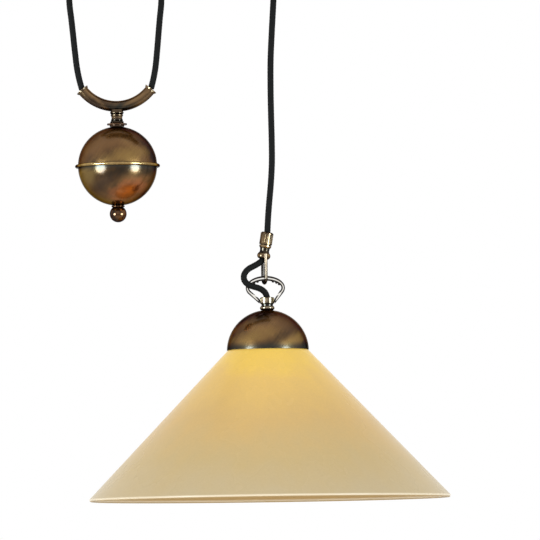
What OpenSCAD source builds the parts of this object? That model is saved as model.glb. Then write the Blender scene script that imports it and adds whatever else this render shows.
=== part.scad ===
// Rise and fall pendant: a lamp and a ball counterweight on one textile cord.
// Millimetres, +Z up, origin on the ceiling at the centre of the mounting plate's four slots.

/* [Ceiling canopy] */
// Overall length of the canopy
canopy_l = 300; // [290:2:330]
// Overall width of the canopy
canopy_w = 84; // [80:1:100]
// Depth of the canopy below the ceiling
canopy_h = 36; // [34:0.5:40]
// Sheet thickness of the canopy
canopy_wall = 1.2; // [0.8:0.1:1.6]
// Radius of the canopy's lower edge
canopy_edge_r = 8; // [4:0.5:10]

/* [Mounting plate] */
// Thickness of the mounting plate
plate_t = 2; // [1.5:0.1:2.4]
// Width of the mounting plate
plate_w = 50; // [46:1:56]
// Distance between the fixing slots along the plate
slot_pitch_x = 103; // [101:0.5:104]
// Distance between the fixing slots across the plate
slot_pitch_y = 34; // [30:1:36]
// End-to-end length of a fixing slot
slot_l = 14; // [10:1:15]
// Width of a fixing slot
slot_w = 5; // [4:0.5:6]
// Bore of the grommet for the supply cable
inlet_bore_d = 10; // [8:0.5:11]

/* [Pulleys] */
// Radius of the cord's centreline on a pulley
pulley_r = 20; // [18:0.5:20]
// Width of a pulley
pulley_w = 12; // [11:0.5:12.5]
// Diameter of a pulley's axle
axle_d = 6; // [5:0.5:7]
// Depth of the axles below the ceiling
axle_drop = 30; // [28:0.5:32]
// Sheet thickness of the pulley brackets
bracket_t = 1.5; // [1.2:0.1:1.7]

/* [Cord] */
// Diameter of the textile cord
cord_d = 7; // [6:0.1:7.2]
// Radial gap between the cord and what it passes through
cord_gap = 0.4; // [0.3:0.05:0.6]
// How far the anchored end and the lamp's strand hang in from the canopy's ends
strand_inset = 36; // [35.5:0.25:36.5]

/* [Counterweight] */
// Centreline radius of the curved saddle tube
saddle_r = 48; // [47:0.25:49]
// Half angle that the saddle tube and its mouths cover
saddle_angle = 53; // [51:0.5:55]
// Outer diameter of the saddle tube
tube_d = 12; // [11:0.25:13]
// Bore of the saddle tube
tube_bore_d = 9.2; // [8.6:0.1:9.8]
// Height of the turned neck below the tube's lowest centreline
neck_h = 19.4; // [18:0.2:24]
// Outer diameter of the ball
ball_d = 88; // [80:1:96]
// Sheet thickness of the ball's half shells
ball_t = 1.2; // [0.8:0.1:1.6]
// How far the band round the ball's equator stands out
band_out = 3.2; // [2.4:0.1:4.8]
// Height of the band
band_h = 3.6; // [3:0.2:5]
// Diameter of the finial ball
finial_d = 18.8; // [16:0.4:22]
// Diameter of the tie rod
rod_d = 6; // [5:0.5:7]

/* [Cord grip and hook] */
// Lean of the cord grip from the vertical
grip_lean = 9.5; // [9:0.25:10]
// Diameter of the knurled nut
grip_nut_d = 14.2; // [13.6:0.2:16]
// Height of the knurled nut
grip_nut_h = 14.3; // [13:0.2:15]
// Wire diameter of the hook
hook_d = 3.6; // [3.2:0.1:3.8]
// Turn of the hook about its upright axis
hook_turn = 18; // [14:1:20]
// Height of the hook's return leg above its curl
hook_return = 15; // [12:0.5:15.5]

/* [Bail] */
// Outer width of the bail
bail_w = 43.6; // [40:0.4:46]
// Thickness of the bail's flat wire
bail_t = 3; // [2.5:0.1:3.4]
// Width of the bail's side arms
bail_arm = 4; // [3.4:0.1:4.4]
// Diameter of the bail's pivot pins
bail_pin_d = 3; // [2.6:0.1:3.2]

/* [Lamp] */
// Distance of the lamp's axis from the canopy's centre
lamp_x = 101.5; // [101:0.25:102]
// Outer diameter of the domed cap
cap_d = 91; // [88:0.5:94]
// Sheet thickness of the domed cap
cap_t = 1; // [0.8:0.1:1.4]
// Diameter of the shade's rim
rim_d = 400; // [380:5:420]
// Angle of the shade's wall from the vertical
shade_angle = 43.66; // [43:0.1:44.5]
// Thickness of the glass
glass_t = 2.6; // [2.2:0.1:3.2]
// Radius of the thicker bead round the shade's rim
rim_bead = 2.1; // [1.8:0.05:2.3]
// Hole in the shade for the lampholder
holder_hole_d = 41.2; // [41:0.2:43]
// Outer diameter of the lampholder's threaded skirt
holder_d = 38.4; // [37.6:0.2:38.8]
// Outer diameter of the threaded nipple
nipple_d = 10; // [9.6:0.1:10.4]
// Diameter of the bulb's glass
bulb_d = 60; // [55:1:62]
// Length of the bulb with its screw cap
bulb_l = 105; // [100:1:110]

/* [Hidden] */
$fn = 72;

// Colours as the photograph shows them
antique = [0.42, 0.31, 0.17];
brass = [0.72, 0.55, 0.30];
steel = [0.62, 0.63, 0.64];
black = [0.09, 0.09, 0.09];
white = [0.90, 0.89, 0.86];
amber = [0.90, 0.76, 0.48];

// Running, screw and seating gaps
run_gap = 0.05;
screw_gap = 0.05;
side_gap = 0.75;

// Mounting plate and canopy
plate_end_gap = 14;
plate_half = canopy_l / 2 - plate_end_gap;
tab_w = 12;
tab_h = 16;
tab_foot = 6;
tab_x = canopy_l / 2 - canopy_wall - 1;
side_screw_z = -10;
screw_d = 4;
screw_top = -0.2;
inlet_wall = 3;
earth_y = -18;
canopy_floor = -canopy_h + canopy_wall;

// Pulleys: each one's outer side is in line with the strand that leaves it
strand_half = 51.5;
strand_lamp_x = canopy_l / 2 - strand_inset;
strand_left_x = -strand_lamp_x;
counterweight_x = strand_left_x + strand_half;
strand_right_x = counterweight_x + strand_half;
pulley_left_x = strand_right_x + pulley_r;
pulley_right_x = strand_lamp_x - pulley_r;
inlet_x = pulley_left_x - 42;
flange_h = cord_d / 2;
groove_r = cord_d / 2 + 0.6;
groove_flare = 0.6;
cheek_y = pulley_w / 2 + side_gap;
brackets_apart = 21;
bracket_l = pulley_right_x - pulley_left_x - brackets_apart;
bracket_w = 44;
bracket_z = -plate_t - bracket_t;
bracket_screw = [bracket_l / 2 - 5, 17];
cheek_half = bracket_l / 2 - 12;
slot_half = [pulley_r + flange_h + 2, cheek_y + bracket_t + 1.25];
strand_top_z = -54;

// Anchor of the cord
anchor_foot_z = canopy_floor + bracket_t;
anchor_leg_x = strand_left_x - 14.5;
anchor_foot_x = strand_left_x - 27;
anchor_w = 28;
anchor_leg_w = 20;
anchor_screw_y = 9;
anchor_nut_h = 3;
bush_top = anchor_foot_z + anchor_nut_h + 0.8;
bush_thread_d = 12;
bush_mouth_z = -47;
clamp_h = 5.5;
terminal_size = [30, 24, 15];
terminal_x = strand_left_x + 22;

// Counterweight, from the saddle tube down
saddle_z = -179.3;
saddle_centre_z = saddle_z + saddle_r;
ferrule_l = 2.4;
ferrule_angle = atan(ferrule_l / saddle_r);
neck_foot_z = saddle_z - neck_h;
washer_t = 1.6;
washer_d = 22;
boss_h = 1.9;
shell_top_z = neck_foot_z - washer_t - boss_h;
seat_cut = 0.2;
ball_z = shell_top_z + seat_cut - ball_d / 2;
shell_foot_z = ball_z - ball_d / 2 + seat_cut;
core_gap = 0.3;
finial_collar_h = 2;
finial_top_z = shell_foot_z - finial_collar_h;
finial_cut = 2;
finial_z = finial_top_z + finial_cut - finial_d / 2;

// Cord grip: its own axis goes through the bulb's centre
grip_x = 98.5;
grip_z = -348.2;
bulge_r = 4.1;
bulge_d = 14.8;
grip_waist_d = 10.8;
grip_flange_z = 10.2;
grip_flange_d = 13.4;
nut_z = 12.1;
spigot_d = 11;
collet_z = 12.4;
collet_wall = 0.8;

// Hook, from the centre of its wire at its lowest point, and the bail's pivots
hook_x = 98.9;
hook_z = -378.5;
hook_curl_r = 6;
hook_stem_h = 32;
pin_z = hook_z - 20;
pin_reach = 4.6;
hook_gap = 0.4;
bail_bar_z = hook_z + hook_d / 2 + 0.3;
bail_mid_z = hook_z - 5.5;
bail_top_z = bail_bar_z + 5.8;
bail_bias = 1.8;

// Lamp, from the collar down
collar_top = pin_z + 4;
collar_d = 15.8;
collar_foot = pin_z - 10.4;
cap_flat = 0.4;
cap_z = collar_foot + cap_flat - cap_d / 2;
cap_rim_z = cap_z + 1.2;
nut_h = 3.5;
nut_flats_r = 7.6;
nipple_bore_d = cord_d + 2 * cord_gap;
nipple_top = collar_foot + 7.4;
nipple_foot = collar_foot - 15;
under_cap = collar_foot - cap_t - 0.4;
holder_top = collar_foot - 9.1;
cover_h = 16;
cover_wall = 1.5;
body_top = holder_top - cover_h;
body_h = 42;
bulb_bore_d = 27.8;
bulb_cap_d = 26.4;
insert_h = 6.6;
cone_r = cap_d / 2 - 0.04;
shoulder_z = cap_z + 12;
shoulder_t = 3;
ring_h = 5;
washer_h = 1;
ring_d = 53;
bulb_top = body_top - 12.2;
bulb_seat = bulb_top - 25;
bulb_centre = bulb_top - bulb_l + bulb_d / 2;

// Points of an arc in degrees
function arc(cx, cy, r, a0, a1, n) =
    [for (i = [0:n]) let (a = a0 + (a1 - a0) * i / n) [cx + r * cos(a), cy + r * sin(a)]];

function unit(v) = v / norm(v);

// ---- Cord routes: [x, y, z] points chosen by hand, and arcs where the cord lies on something round

// Half distance from the counterweight's axis, and height, of the two strands
strand_shape = [[51.5, -54], [50.8, -68], [49.4, -80], [47.8, -96], [45.7, -118], [43.2, -139], [41, -150]];
function mouth(side) =
    let (a = -90 + side * saddle_angle)
    [counterweight_x + saddle_r * cos(a), 0, saddle_centre_z + saddle_r * sin(a)];
function mouth_up(side) = [side * cos(saddle_angle), 0, sin(saddle_angle)];
left_strand = concat(
    [[strand_left_x, 0, bush_mouth_z]],
    [for (p = strand_shape) [counterweight_x - p[0], 0, p[1]]], [mouth(-1)]);
right_strand = concat([for (p = strand_shape) [counterweight_x + p[0], 0, p[1]]], [mouth(1)]);
// Distance from where the lamp's strand starts, and height
lamp_shape = [
    [0, -54], [-1, -70], [-3, -100], [-4.7, -130], [-5.2, -160], [-5.1, -190], [-4.8, -220], [-5, -245],
    [-6.5, -268], [-8.7, -290], [-10.2, -307]];
lamp_strand = [for (p = lamp_shape) [strand_lamp_x + p[0], 0, p[1]]];
tube_arc = [for (a = [-saddle_angle:saddle_angle / 4:saddle_angle])
    [counterweight_x + saddle_r * sin(a), 0, saddle_centre_z - saddle_r * cos(a)]];
over_pulleys = concat(
    [[strand_right_x, 0, strand_top_z]],
    [for (a = [180:-18:90]) [pulley_left_x + pulley_r * cos(a), 0, pulley_r * sin(a) - axle_drop]],
    [for (a = [90:-18:0]) [pulley_right_x + pulley_r * cos(a), 0, pulley_r * sin(a) - axle_drop]],
    [[strand_lamp_x, 0, strand_top_z]]);
// Distance from the anchored strand, and height
tail_shape = [[0, -47], [0, -30], [0, -24], [1.1, -18], [4.3, -13.6], [9, -10.6], [14.5, -9.5], [22, -9.5]];
tail = [for (p = tail_shape) [strand_left_x + p[0], 0, p[1]]];
slack_upper = [
    [97.4, -0.4, -352.6], [94.6, -1.8, -355.2], [90.8, -3.6, -357.8], [86.4, -5.4, -360.2],
    [82, -6.8, -362.6], [78.4, -7.8, -365.9], [76.2, -8.4, -370.3], [76.4, -8.6, -375]];
slack_lower = [
    [76.4, -8.6, -375], [79, -8.4, -378.9], [83, -7.6, -381.4], [87.4, -6.4, -382.9], [91.8, -5, -384.2],
    [96, -3.2, -386.2], [99.4, -1.5, -389.4], [101, -0.4, -393], [101.5, 0, -397]];
exit_dir = [-0.62, -0.3, -0.72];
slack_mid_dir = [0.28, 0.02, -0.96];
down = [0, 0, -1];
cord_sides = 10;

// The frame of a tube: one ring of points round each point of its route
function ring(c, t, r) =
    let (u = unit(cross([0, 1, 0], t)), w = cross(t, u))
    [for (i = [0:cord_sides - 1]) let (a = 360 * i / cord_sides) c + r * cos(a) * u + r * sin(a) * w];
function tangents(path, first, last) =
    [for (i = [0:len(path) - 1])
        i == 0 ? unit(first) : i == len(path) - 1 ? unit(last) : unit(path[i + 1] - path[i - 1])];

module cord_tube(path, first, last) {
    n = cord_sides;
    m = len(path);
    ts = tangents(path, first, last);
    points = [for (i = [0:m - 1]) each ring(path[i], ts[i], cord_d / 2)];
    walls = [for (i = [0:m - 2], j = [0:n - 1])
        let (a = i * n + j, b = i * n + (j + 1) % n)
        each [[a, a + n, b + n], [a, b + n, b]]];
    caps = [[for (j = [0:n - 1]) j], [for (j = [n - 1:-1:0]) (m - 1) * n + j]];
    color(black) polyhedron(points = points, faces = concat(walls, caps));
}

module bored(h, r_outer, r_bore) {
    difference() {
        cylinder(h = h, r = r_outer);
        translate([0, 0, -1]) cylinder(h = h + 2, r = r_bore);
    }
}

module hexagon(h, r) {
    cylinder(h = h, r = r, $fn = 6);
}

// ---- Ceiling fitting

module slot_hole(length, width, depth) {
    translate([-(length - width) / 2, -width / 2, -depth]) cube([length - width, width, 2 * depth]);
    for (s = [-1, 1]) translate([s * (length - width) / 2, 0, -depth]) cylinder(h = 2 * depth, d = width);
}

module at_plate_screws() {
    for (x = [pulley_left_x, pulley_right_x], sx = [-1, 1], sy = [-1, 1])
        translate([x + sx * bracket_screw[0], sy * bracket_screw[1], 0]) children();
    for (sy = [-1, 1]) translate([(anchor_foot_x + anchor_leg_x) / 2, sy * anchor_screw_y, 0]) children();
}

module mounting_plate() {
    color(steel) difference() {
        union() {
            translate([-plate_half, -plate_w / 2, -plate_t]) cube([2 * plate_half, plate_w, plate_t]);
            translate([-tab_x, -tab_w / 2, -plate_t]) cube([2 * tab_x, tab_w, plate_t]);
        }
        for (sx = [-1, 1], sy = [-1, 1])
            translate([sx * slot_pitch_x / 2, sy * slot_pitch_y / 2, 0]) slot_hole(slot_l, slot_w, 5);
        at_plate_screws() translate([0, 0, -5]) cylinder(h = 10, d = screw_d + 2 * screw_gap);
        translate([inlet_x, earth_y, -5]) cylinder(h = 10, d = screw_d + 2 * screw_gap);
        translate([inlet_x, 0, -5]) cylinder(h = 10, d = inlet_bore_d + 2 * inlet_wall);
    }
}

module plate_tabs() {
    color(steel) for (s = [0, 1]) mirror([s, 0, 0]) difference() {
        union() {
            translate([tab_x - tab_foot, -tab_w / 2, bracket_z]) cube([tab_foot, tab_w, bracket_t]);
            translate([tab_x - bracket_t, -tab_w / 2, -tab_h]) cube([bracket_t, tab_w, tab_h - plate_t]);
        }
        translate([plate_half, 0, side_screw_z]) rotate([0, 90, 0])
            cylinder(h = canopy_l / 2, d = screw_d + 2 * screw_gap);
    }
}

function canopy_profile() =
    let (r = canopy_w / 2, e = canopy_edge_r, h = canopy_h, w = canopy_wall)
    concat(
        [[0, -h]], arc(r - e, -h + e, e, -90, 0, 8), [[r, 0], [r - w, 0]],
        arc(r - e, -h + e, e - w, 0, -90, 8), [[0, -h + w]]);

module canopy() {
    straight = canopy_l - canopy_w;
    color(antique) difference() {
        union() {
            for (s = [0, 1]) mirror([s, 0, 0]) translate([straight / 2, 0, 0]) rotate([0, 0, -90])
                rotate_extrude(angle = 180) polygon(canopy_profile());
            translate([-straight / 2, 0, 0]) rotate([90, 0, 90]) linear_extrude(straight) {
                polygon(canopy_profile());
                mirror([1, 0]) polygon(canopy_profile());
            }
        }
        for (x = [pulley_left_x, pulley_right_x])
            translate([x, 0, -canopy_h]) slot_hole(2 * slot_half[0] + 6, 2 * slot_half[1], 3);
        translate([strand_left_x, 0, -canopy_h - 2]) cylinder(h = 4, d = bush_thread_d + 0.4);
        translate([-canopy_l, 0, side_screw_z]) rotate([0, 90, 0])
            cylinder(h = 2 * canopy_l, d = screw_d + 0.6);
    }
}

module canopy_screws() {
    head_l = 5;
    head_d = 9;
    reach = canopy_wall + 5;
    color(brass) for (s = [0, 1]) mirror([s, 0, 0]) translate([canopy_l / 2 + 0.2, 0, side_screw_z])
        rotate([0, 90, 0]) {
            translate([0, 0, -reach]) cylinder(h = reach + 1, d = screw_d);
            difference() {
                cylinder(h = head_l, d = head_d);
                for (i = [0:15]) rotate([0, 0, i * 22.5]) translate([head_d / 2 + 0.35, 0, -1])
                    cylinder(h = head_l + 2, r = 0.7, $fn = 16);
            }
        }
}

module pulley_bracket(x) {
    color(steel) translate([x, 0, 0]) difference() {
        union() {
            translate([-bracket_l / 2, -bracket_w / 2, bracket_z]) cube([bracket_l, bracket_w, bracket_t]);
            for (s = [-1, 1]) translate([0, s * (cheek_y + bracket_t / 2) + bracket_t / 2, 0])
                rotate([90, 0, 0]) linear_extrude(bracket_t) {
                    polygon([[-cheek_half, bracket_z], [cheek_half, bracket_z], [7.6, -axle_drop],
                        [-7.6, -axle_drop]]);
                    translate([0, -axle_drop]) circle(r = 8);
                }
        }
        for (sx = [-1, 1], sy = [-1, 1]) translate([sx * bracket_screw[0], sy * bracket_screw[1], -10])
            cylinder(h = 12, d = screw_d + 2 * screw_gap);
        translate([0, bracket_w, -axle_drop]) rotate([90, 0, 0])
            cylinder(h = 2 * bracket_w, d = axle_d + 2 * screw_gap);
    }
}

module pulley_bracket_left() {
    pulley_bracket(pulley_left_x);
}

module pulley_bracket_right() {
    pulley_bracket(pulley_right_x);
}

module plate_screws() {
    head_h = 2.2;
    head_d = 7;
    color(steel) at_plate_screws() {
        translate([0, 0, bracket_z]) cylinder(h = screw_top - bracket_z, d = screw_d);
        translate([0, 0, bracket_z - head_h]) difference() {
            cylinder(h = head_h, d = head_d);
            for (a = [0, 90]) rotate([0, 0, a]) translate([-2, -0.5, -0.1]) cube([4, 1, 1.2]);
        }
    }
}

module pulley_axles() {
    head_r = 4.4;
    reach = cheek_y + bracket_t;
    color(brass) for (x = [pulley_left_x, pulley_right_x]) translate([x, 0, -axle_drop])
        rotate([90, 0, 0]) {
            translate([0, 0, -reach - 1.8]) cylinder(h = 2 * reach + 1.8, d = axle_d);
            translate([0, 0, reach]) cylinder(h = 1.2, r = head_r);
        }
}

module axle_clips() {
    color(steel) for (x = [pulley_left_x, pulley_right_x])
        translate([x, cheek_y + bracket_t + 0.2, -axle_drop]) rotate([-90, 0, 0]) difference() {
            cylinder(h = 0.8, d = axle_d + 2.6);
            translate([0, 0, -1]) cylinder(h = 3, d = axle_d + 2 * screw_gap);
            translate([-1.2, -9, -1]) cube([2.4, 9, 3]);
        }
}

module pulley(x) {
    hub_d = 14;
    web = 5;
    rim_in = pulley_r - groove_r - 2.4;
    color(brass) translate([x, 0, -axle_drop]) rotate([90, 0, 0]) rotate_extrude() difference() {
        union() {
            translate([axle_d / 2 + run_gap, -pulley_w / 2])
                square([hub_d / 2 - axle_d / 2 - run_gap, pulley_w]);
            translate([hub_d / 2 - 0.1, -web / 2]) square([rim_in - hub_d / 2 + 0.2, web]);
            translate([rim_in, -pulley_w / 2]) square([pulley_r + flange_h - rim_in, pulley_w]);
        }
        translate([pulley_r, 0]) circle(r = groove_r);
        polygon([
            [pulley_r, -groove_r], [pulley_r + flange_h + 1, -groove_r - groove_flare],
            [pulley_r + flange_h + 1, groove_r + groove_flare], [pulley_r, groove_r]]);
    }
}

module pulley_left() {
    pulley(pulley_left_x);
}

module pulley_right() {
    pulley(pulley_right_x);
}

module anchor_bracket() {
    leg_h = bracket_z - canopy_floor + bracket_t;
    base_l = 27;
    color(steel) difference() {
        union() {
            translate([anchor_foot_x, -anchor_w / 2, bracket_z])
                cube([anchor_leg_x - anchor_foot_x, anchor_w, bracket_t]);
            translate([anchor_leg_x - bracket_t, -anchor_leg_w / 2, canopy_floor]) {
                cube([bracket_t, anchor_leg_w, leg_h]);
                cube([base_l, anchor_leg_w, bracket_t]);
            }
        }
        for (sy = [-1, 1]) translate([(anchor_foot_x + anchor_leg_x) / 2, sy * anchor_screw_y, -10])
            cylinder(h = 12, d = screw_d + 2 * screw_gap);
        translate([strand_left_x, 0, canopy_floor - 1]) cylinder(h = 4, d = bush_thread_d + 0.2);
    }
}

module anchor_bush() {
    bore = cord_d / 2 + cord_gap;
    flange_t = 2.4;
    color(brass) translate([strand_left_x, 0, 0]) rotate_extrude() polygon(concat(
        [[bore, bush_top], [bush_thread_d / 2, bush_top], [bush_thread_d / 2, -canopy_h], [10, -canopy_h]],
        arc(9.4, -canopy_h - flange_t / 2, flange_t / 2, 90, -90, 8),
        [[7.4, -canopy_h - flange_t], [6, -42.5], [6, -44.5]],
        arc(5.9, -45.8, 1.2, 90, -90, 8), [[bore, bush_mouth_z]]));
}

module anchor_nut() {
    color(steel) translate([strand_left_x, 0, anchor_foot_z]) difference() {
        hexagon(anchor_nut_h, 9.8);
        translate([0, 0, -1]) cylinder(h = anchor_nut_h + 2, d = bush_thread_d + 2 * screw_gap);
    }
}

module anchor_clamp() {
    color(brass) translate([strand_left_x, 0, bush_top]) difference() {
        cylinder(h = clamp_h, r = 8.5);
        translate([0, 0, -1]) cylinder(h = clamp_h + 2, d = cord_d);
        translate([-0.8, -10, -1]) cube([1.6, 10, clamp_h + 2]);
        translate([-10, -6, clamp_h / 2]) rotate([0, 90, 0]) cylinder(h = 20, d = 2.4);
    }
}

module at_poles() {
    for (i = [0:2]) translate([terminal_x, (i - 1) * 7.6, -plate_t]) children();
}

module terminal_block() {
    color(white) difference() {
        union() {
            translate([terminal_x, -terminal_size[1] / 2, -plate_t - 3])
                cube([terminal_size[0], terminal_size[1], 3]);
            at_poles() translate([0, -3.5, -terminal_size[2]]) cube([terminal_size[0], 7, terminal_size[2]]);
            translate([terminal_x + 12, -terminal_size[1] / 2 + 2, -plate_t - 11])
                cube([6, terminal_size[1] - 4, 9]);
        }
        at_poles() for (x = [6, terminal_size[0] - 6]) translate([x, 0, -terminal_size[2] - 1])
            cylinder(h = 6, d = 4);
        at_poles() translate([terminal_size[0] - 8, 0, -7.5]) rotate([0, 90, 0]) cylinder(h = 10, d = 3.6);
    }
}

module terminal_screws() {
    color(brass) at_poles() for (x = [6, terminal_size[0] - 6]) translate([x, 0, -terminal_size[2] + 1])
        difference() {
            cylinder(h = 4, d = 3.8);
            translate([-2, -0.35, -0.1]) cube([4, 0.7, 0.9]);
        }
}

module earth_terminal() {
    color(brass) translate([inlet_x, earth_y, 0]) {
        translate([0, 0, -plate_t]) cylinder(h = plate_t + screw_top, d = screw_d);
        translate([0, 0, -plate_t - 1]) cylinder(h = 1, d = 9);
        translate([0, 0, -plate_t - 3.6]) difference() {
            cylinder(h = 2.7, d = 7);
            translate([-4, -0.5, -0.1]) cube([8, 1, 1.1]);
        }
    }
}

module inlet_grommet() {
    color(black) translate([inlet_x, 0, -plate_t - 3]) difference() {
        union() {
            cylinder(h = 3, d = inlet_bore_d + 2 * inlet_wall + 4);
            cylinder(h = 3 + plate_t + screw_top, d = inlet_bore_d + 2 * inlet_wall - 2 * screw_gap);
        }
        translate([0, 0, -1]) cylinder(h = plate_t + 5, d = inlet_bore_d);
    }
}

// ---- Cord

module cord_tail() {
    cord_tube(tail, [0, 0, 1], [1, 0, 0]);
}

module cord_over_pulleys() {
    cord_tube(over_pulleys, [0, 0, 1], down);
}

module cord_left_strand() {
    cord_tube(left_strand, down, -mouth_up(-1));
}

module cord_right_strand() {
    cord_tube(right_strand, down, -mouth_up(1));
}

module cord_lamp_strand() {
    cord_tube(concat(lamp_strand, [grip_point(nut_z + grip_nut_h)]), down, -grip_axis);
}

module cord_in_tube() {
    cord_tube(tube_arc, -mouth_up(-1), mouth_up(1));
}

grip_axis = [sin(grip_lean), 0, cos(grip_lean)];
function grip_point(z) = [grip_x, 0, grip_z] + z * grip_axis;

module cord_in_grip() {
    cord_tube([grip_point(nut_z + grip_nut_h), grip_point(12), grip_point(2), slack_upper[0]],
        -grip_axis, exit_dir);
}

module cord_slack_upper() {
    cord_tube(slack_upper, exit_dir, slack_mid_dir);
}

module cord_slack_lower() {
    cord_tube(slack_lower, slack_mid_dir, down);
}

module cord_in_lamp() {
    last = slack_lower[len(slack_lower) - 1];
    cord_tube([last, [lamp_x, 0, nipple_top], [lamp_x, 0, nipple_foot - 2]], down, down);
}

// ---- Counterweight

module at_counterweight(z) {
    translate([counterweight_x, 0, z]) children();
}

module at_saddle() {
    at_counterweight(saddle_centre_z) rotate([90, 0, 0]) children();
}

module saddle_tube() {
    half = saddle_angle - ferrule_angle;
    color(antique) at_saddle() rotate([0, 0, -90 - half]) rotate_extrude(angle = 2 * half)
        translate([saddle_r, 0]) difference() {
            circle(d = tube_d);
            circle(d = tube_bore_d);
        }
}

module tube_ferrules() {
    half = saddle_angle - ferrule_angle;
    bore = tube_bore_d / 2;
    wall = tube_d / 2;
    color(brass) for (s = [-1, 1]) at_saddle() rotate([0, 0, -90 + s * half]) translate([saddle_r, 0, 0])
        rotate([-90 * s, 0, 0]) rotate_extrude() polygon(concat(
            [[bore, 0], [wall + 0.3, 0]],
            arc(wall + 0.3, 0.6, 0.6, -90, 90, 6),
            arc(wall + 0.9, ferrule_l - 0.6, 0.6, -60, 90, 6),
            [[bore + 0.8, ferrule_l], [bore, ferrule_l - 0.9]]));
}

module neck() {
    waist_r = 6;
    top_r = 6.9;
    color(brass) at_counterweight(0) difference() {
        rotate_extrude() polygon(concat(
            [[0, saddle_z - 3.8], [0, neck_foot_z], [waist_r + 0.1, neck_foot_z]],
            arc(waist_r + 0.1, neck_foot_z + 1.5, 1.5, -90, 75, 8),
            arc(waist_r - 0.1, neck_foot_z + 3.9, 0.9, -65, 70, 6),
            [[waist_r, neck_foot_z + 5.7], [waist_r, neck_foot_z + 7.1]],
            arc(waist_r - 0.1, saddle_z - 10, 1.1, -60, 70, 6),
            arc(top_r, saddle_z - 7.4, 0.8, -70, 80, 6),
            [[top_r, saddle_z - 3.8]]));
        translate([0, 0, saddle_centre_z]) rotate([90, 0, 0]) rotate_extrude() translate([saddle_r, 0])
            circle(d = tube_d + 0.04);
        translate([0, 0, neck_foot_z - 1])
            cylinder(h = saddle_z - 6 - neck_foot_z, d = rod_d + 2 * screw_gap);
    }
}

module neck_washer() {
    color(antique) at_counterweight(neck_foot_z - washer_t) {
        bored(washer_t, washer_d / 2, rod_d / 2 + screw_gap);
        translate([0, 0, -boss_h]) bored(boss_h, 8, rod_d / 2 + screw_gap);
    }
}

module half_shell(side) {
    difference() {
        sphere(d = ball_d, $fn = 120);
        sphere(d = ball_d - 2 * ball_t, $fn = 120);
        translate([-ball_d, -ball_d, side > 0 ? -2 * ball_d : 0]) cube(2 * ball_d);
        translate([-ball_d, -ball_d, side > 0 ? ball_d / 2 - seat_cut : -2.5 * ball_d + seat_cut])
            cube(2 * ball_d);
        translate([0, 0, -ball_d]) cylinder(h = 2 * ball_d, d = rod_d + 0.4);
    }
}

module upper_shell() {
    color(antique) at_counterweight(ball_z) half_shell(1);
}

module lower_shell() {
    color(antique) at_counterweight(ball_z) half_shell(-1);
}

module equator_band() {
    bead = band_h / 2;
    inner = ball_d / 2 + 0.05;
    color(brass) at_counterweight(ball_z) rotate_extrude($fn = 120) polygon(concat(
        [[inner, -bead]], arc(ball_d / 2 + band_out - bead, 0, bead, -60, 60, 10), [[inner, bead]]));
}

module weight_core() {
    color(steel) at_counterweight(ball_z) difference() {
        sphere(d = ball_d - 2 * ball_t - 2 * core_gap, $fn = 96);
        translate([0, 0, -ball_d]) cylinder(h = 2 * ball_d, d = rod_d + 0.4);
    }
}

module tie_rod() {
    top = saddle_z - 7.4;
    foot = finial_top_z - 9;
    color(steel) at_counterweight(foot) cylinder(h = top - foot, d = rod_d);
}

module finial_collar() {
    color(brass) at_counterweight(finial_top_z) difference() {
        rotate_extrude() polygon(concat(
            [[0, 0], [6.4, 0]], arc(6.4, finial_collar_h / 2, finial_collar_h / 2, -90, 90, 8),
            [[0, finial_collar_h]]));
        translate([0, 0, -1]) cylinder(h = finial_collar_h + 2, d = rod_d + 2 * screw_gap);
    }
}

module finial_ball() {
    color(antique) at_counterweight(finial_z) difference() {
        sphere(d = finial_d);
        translate([-finial_d, -finial_d, finial_d / 2 - finial_cut]) cube(2 * finial_d);
        translate([0, 0, finial_top_z - 9.4 - finial_z]) cylinder(h = finial_d, d = rod_d + 2 * screw_gap);
    }
}

// ---- Cord grip and hook

module at_grip(z) {
    translate([grip_x, 0, grip_z]) rotate([0, grip_lean, 0]) translate([0, 0, z]) children();
}

module at_hook() {
    translate([hook_x, 0, hook_z]) rotate([0, 0, hook_turn]) children();
}

module hook_stem(d) {
    at_hook() translate([0, -hook_curl_r, hook_curl_r]) {
        cylinder(h = hook_stem_h - hook_curl_r, d = d, $fn = 32);
        translate([0, 0, hook_stem_h - hook_curl_r]) sphere(d = d, $fn = 32);
    }
}

module suspension_hook() {
    color(brass) {
        hook_stem(hook_d);
        at_hook() translate([0, 0, hook_curl_r]) {
            rotate([90, 0, 90]) rotate([0, 0, 180]) rotate_extrude(angle = 180) translate([hook_curl_r, 0])
                circle(d = hook_d, $fn = 32);
            translate([0, hook_curl_r, 0]) {
                cylinder(h = hook_return, d = hook_d, $fn = 32);
                translate([0, 0, hook_return]) sphere(d = hook_d, $fn = 32);
            }
        }
    }
}

module grip_body() {
    bore = cord_d / 2 + 0.2;
    waist = grip_waist_d / 2;
    nut_end = nut_z + grip_nut_h;
    color(brass) difference() {
        at_grip(0) difference() {
            rotate_extrude() polygon(concat(
                [[0, -bulge_r]], arc(bulge_d / 2 - bulge_r, 0, bulge_r, -90, 55, 14),
                [[waist - 0.3, 5.4], [waist, 8.2], [grip_flange_d / 2, grip_flange_z],
                [grip_flange_d / 2, grip_flange_z + 1.4], [spigot_d / 2, grip_flange_z + 1.4],
                [spigot_d / 2, nut_end - 6], [0, nut_end - 6]]));
            translate([0, 0, -9]) cylinder(h = 40, r = bore);
            translate([0, 0, collet_z]) cylinder(h = 20, r = bore + collet_wall);
            translate([-1.6, -0.8, -bulge_r - 0.1]) cylinder(h = 3.6, r = bore + 1);
        }
        hook_stem(hook_d + 0.1);
    }
}

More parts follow.
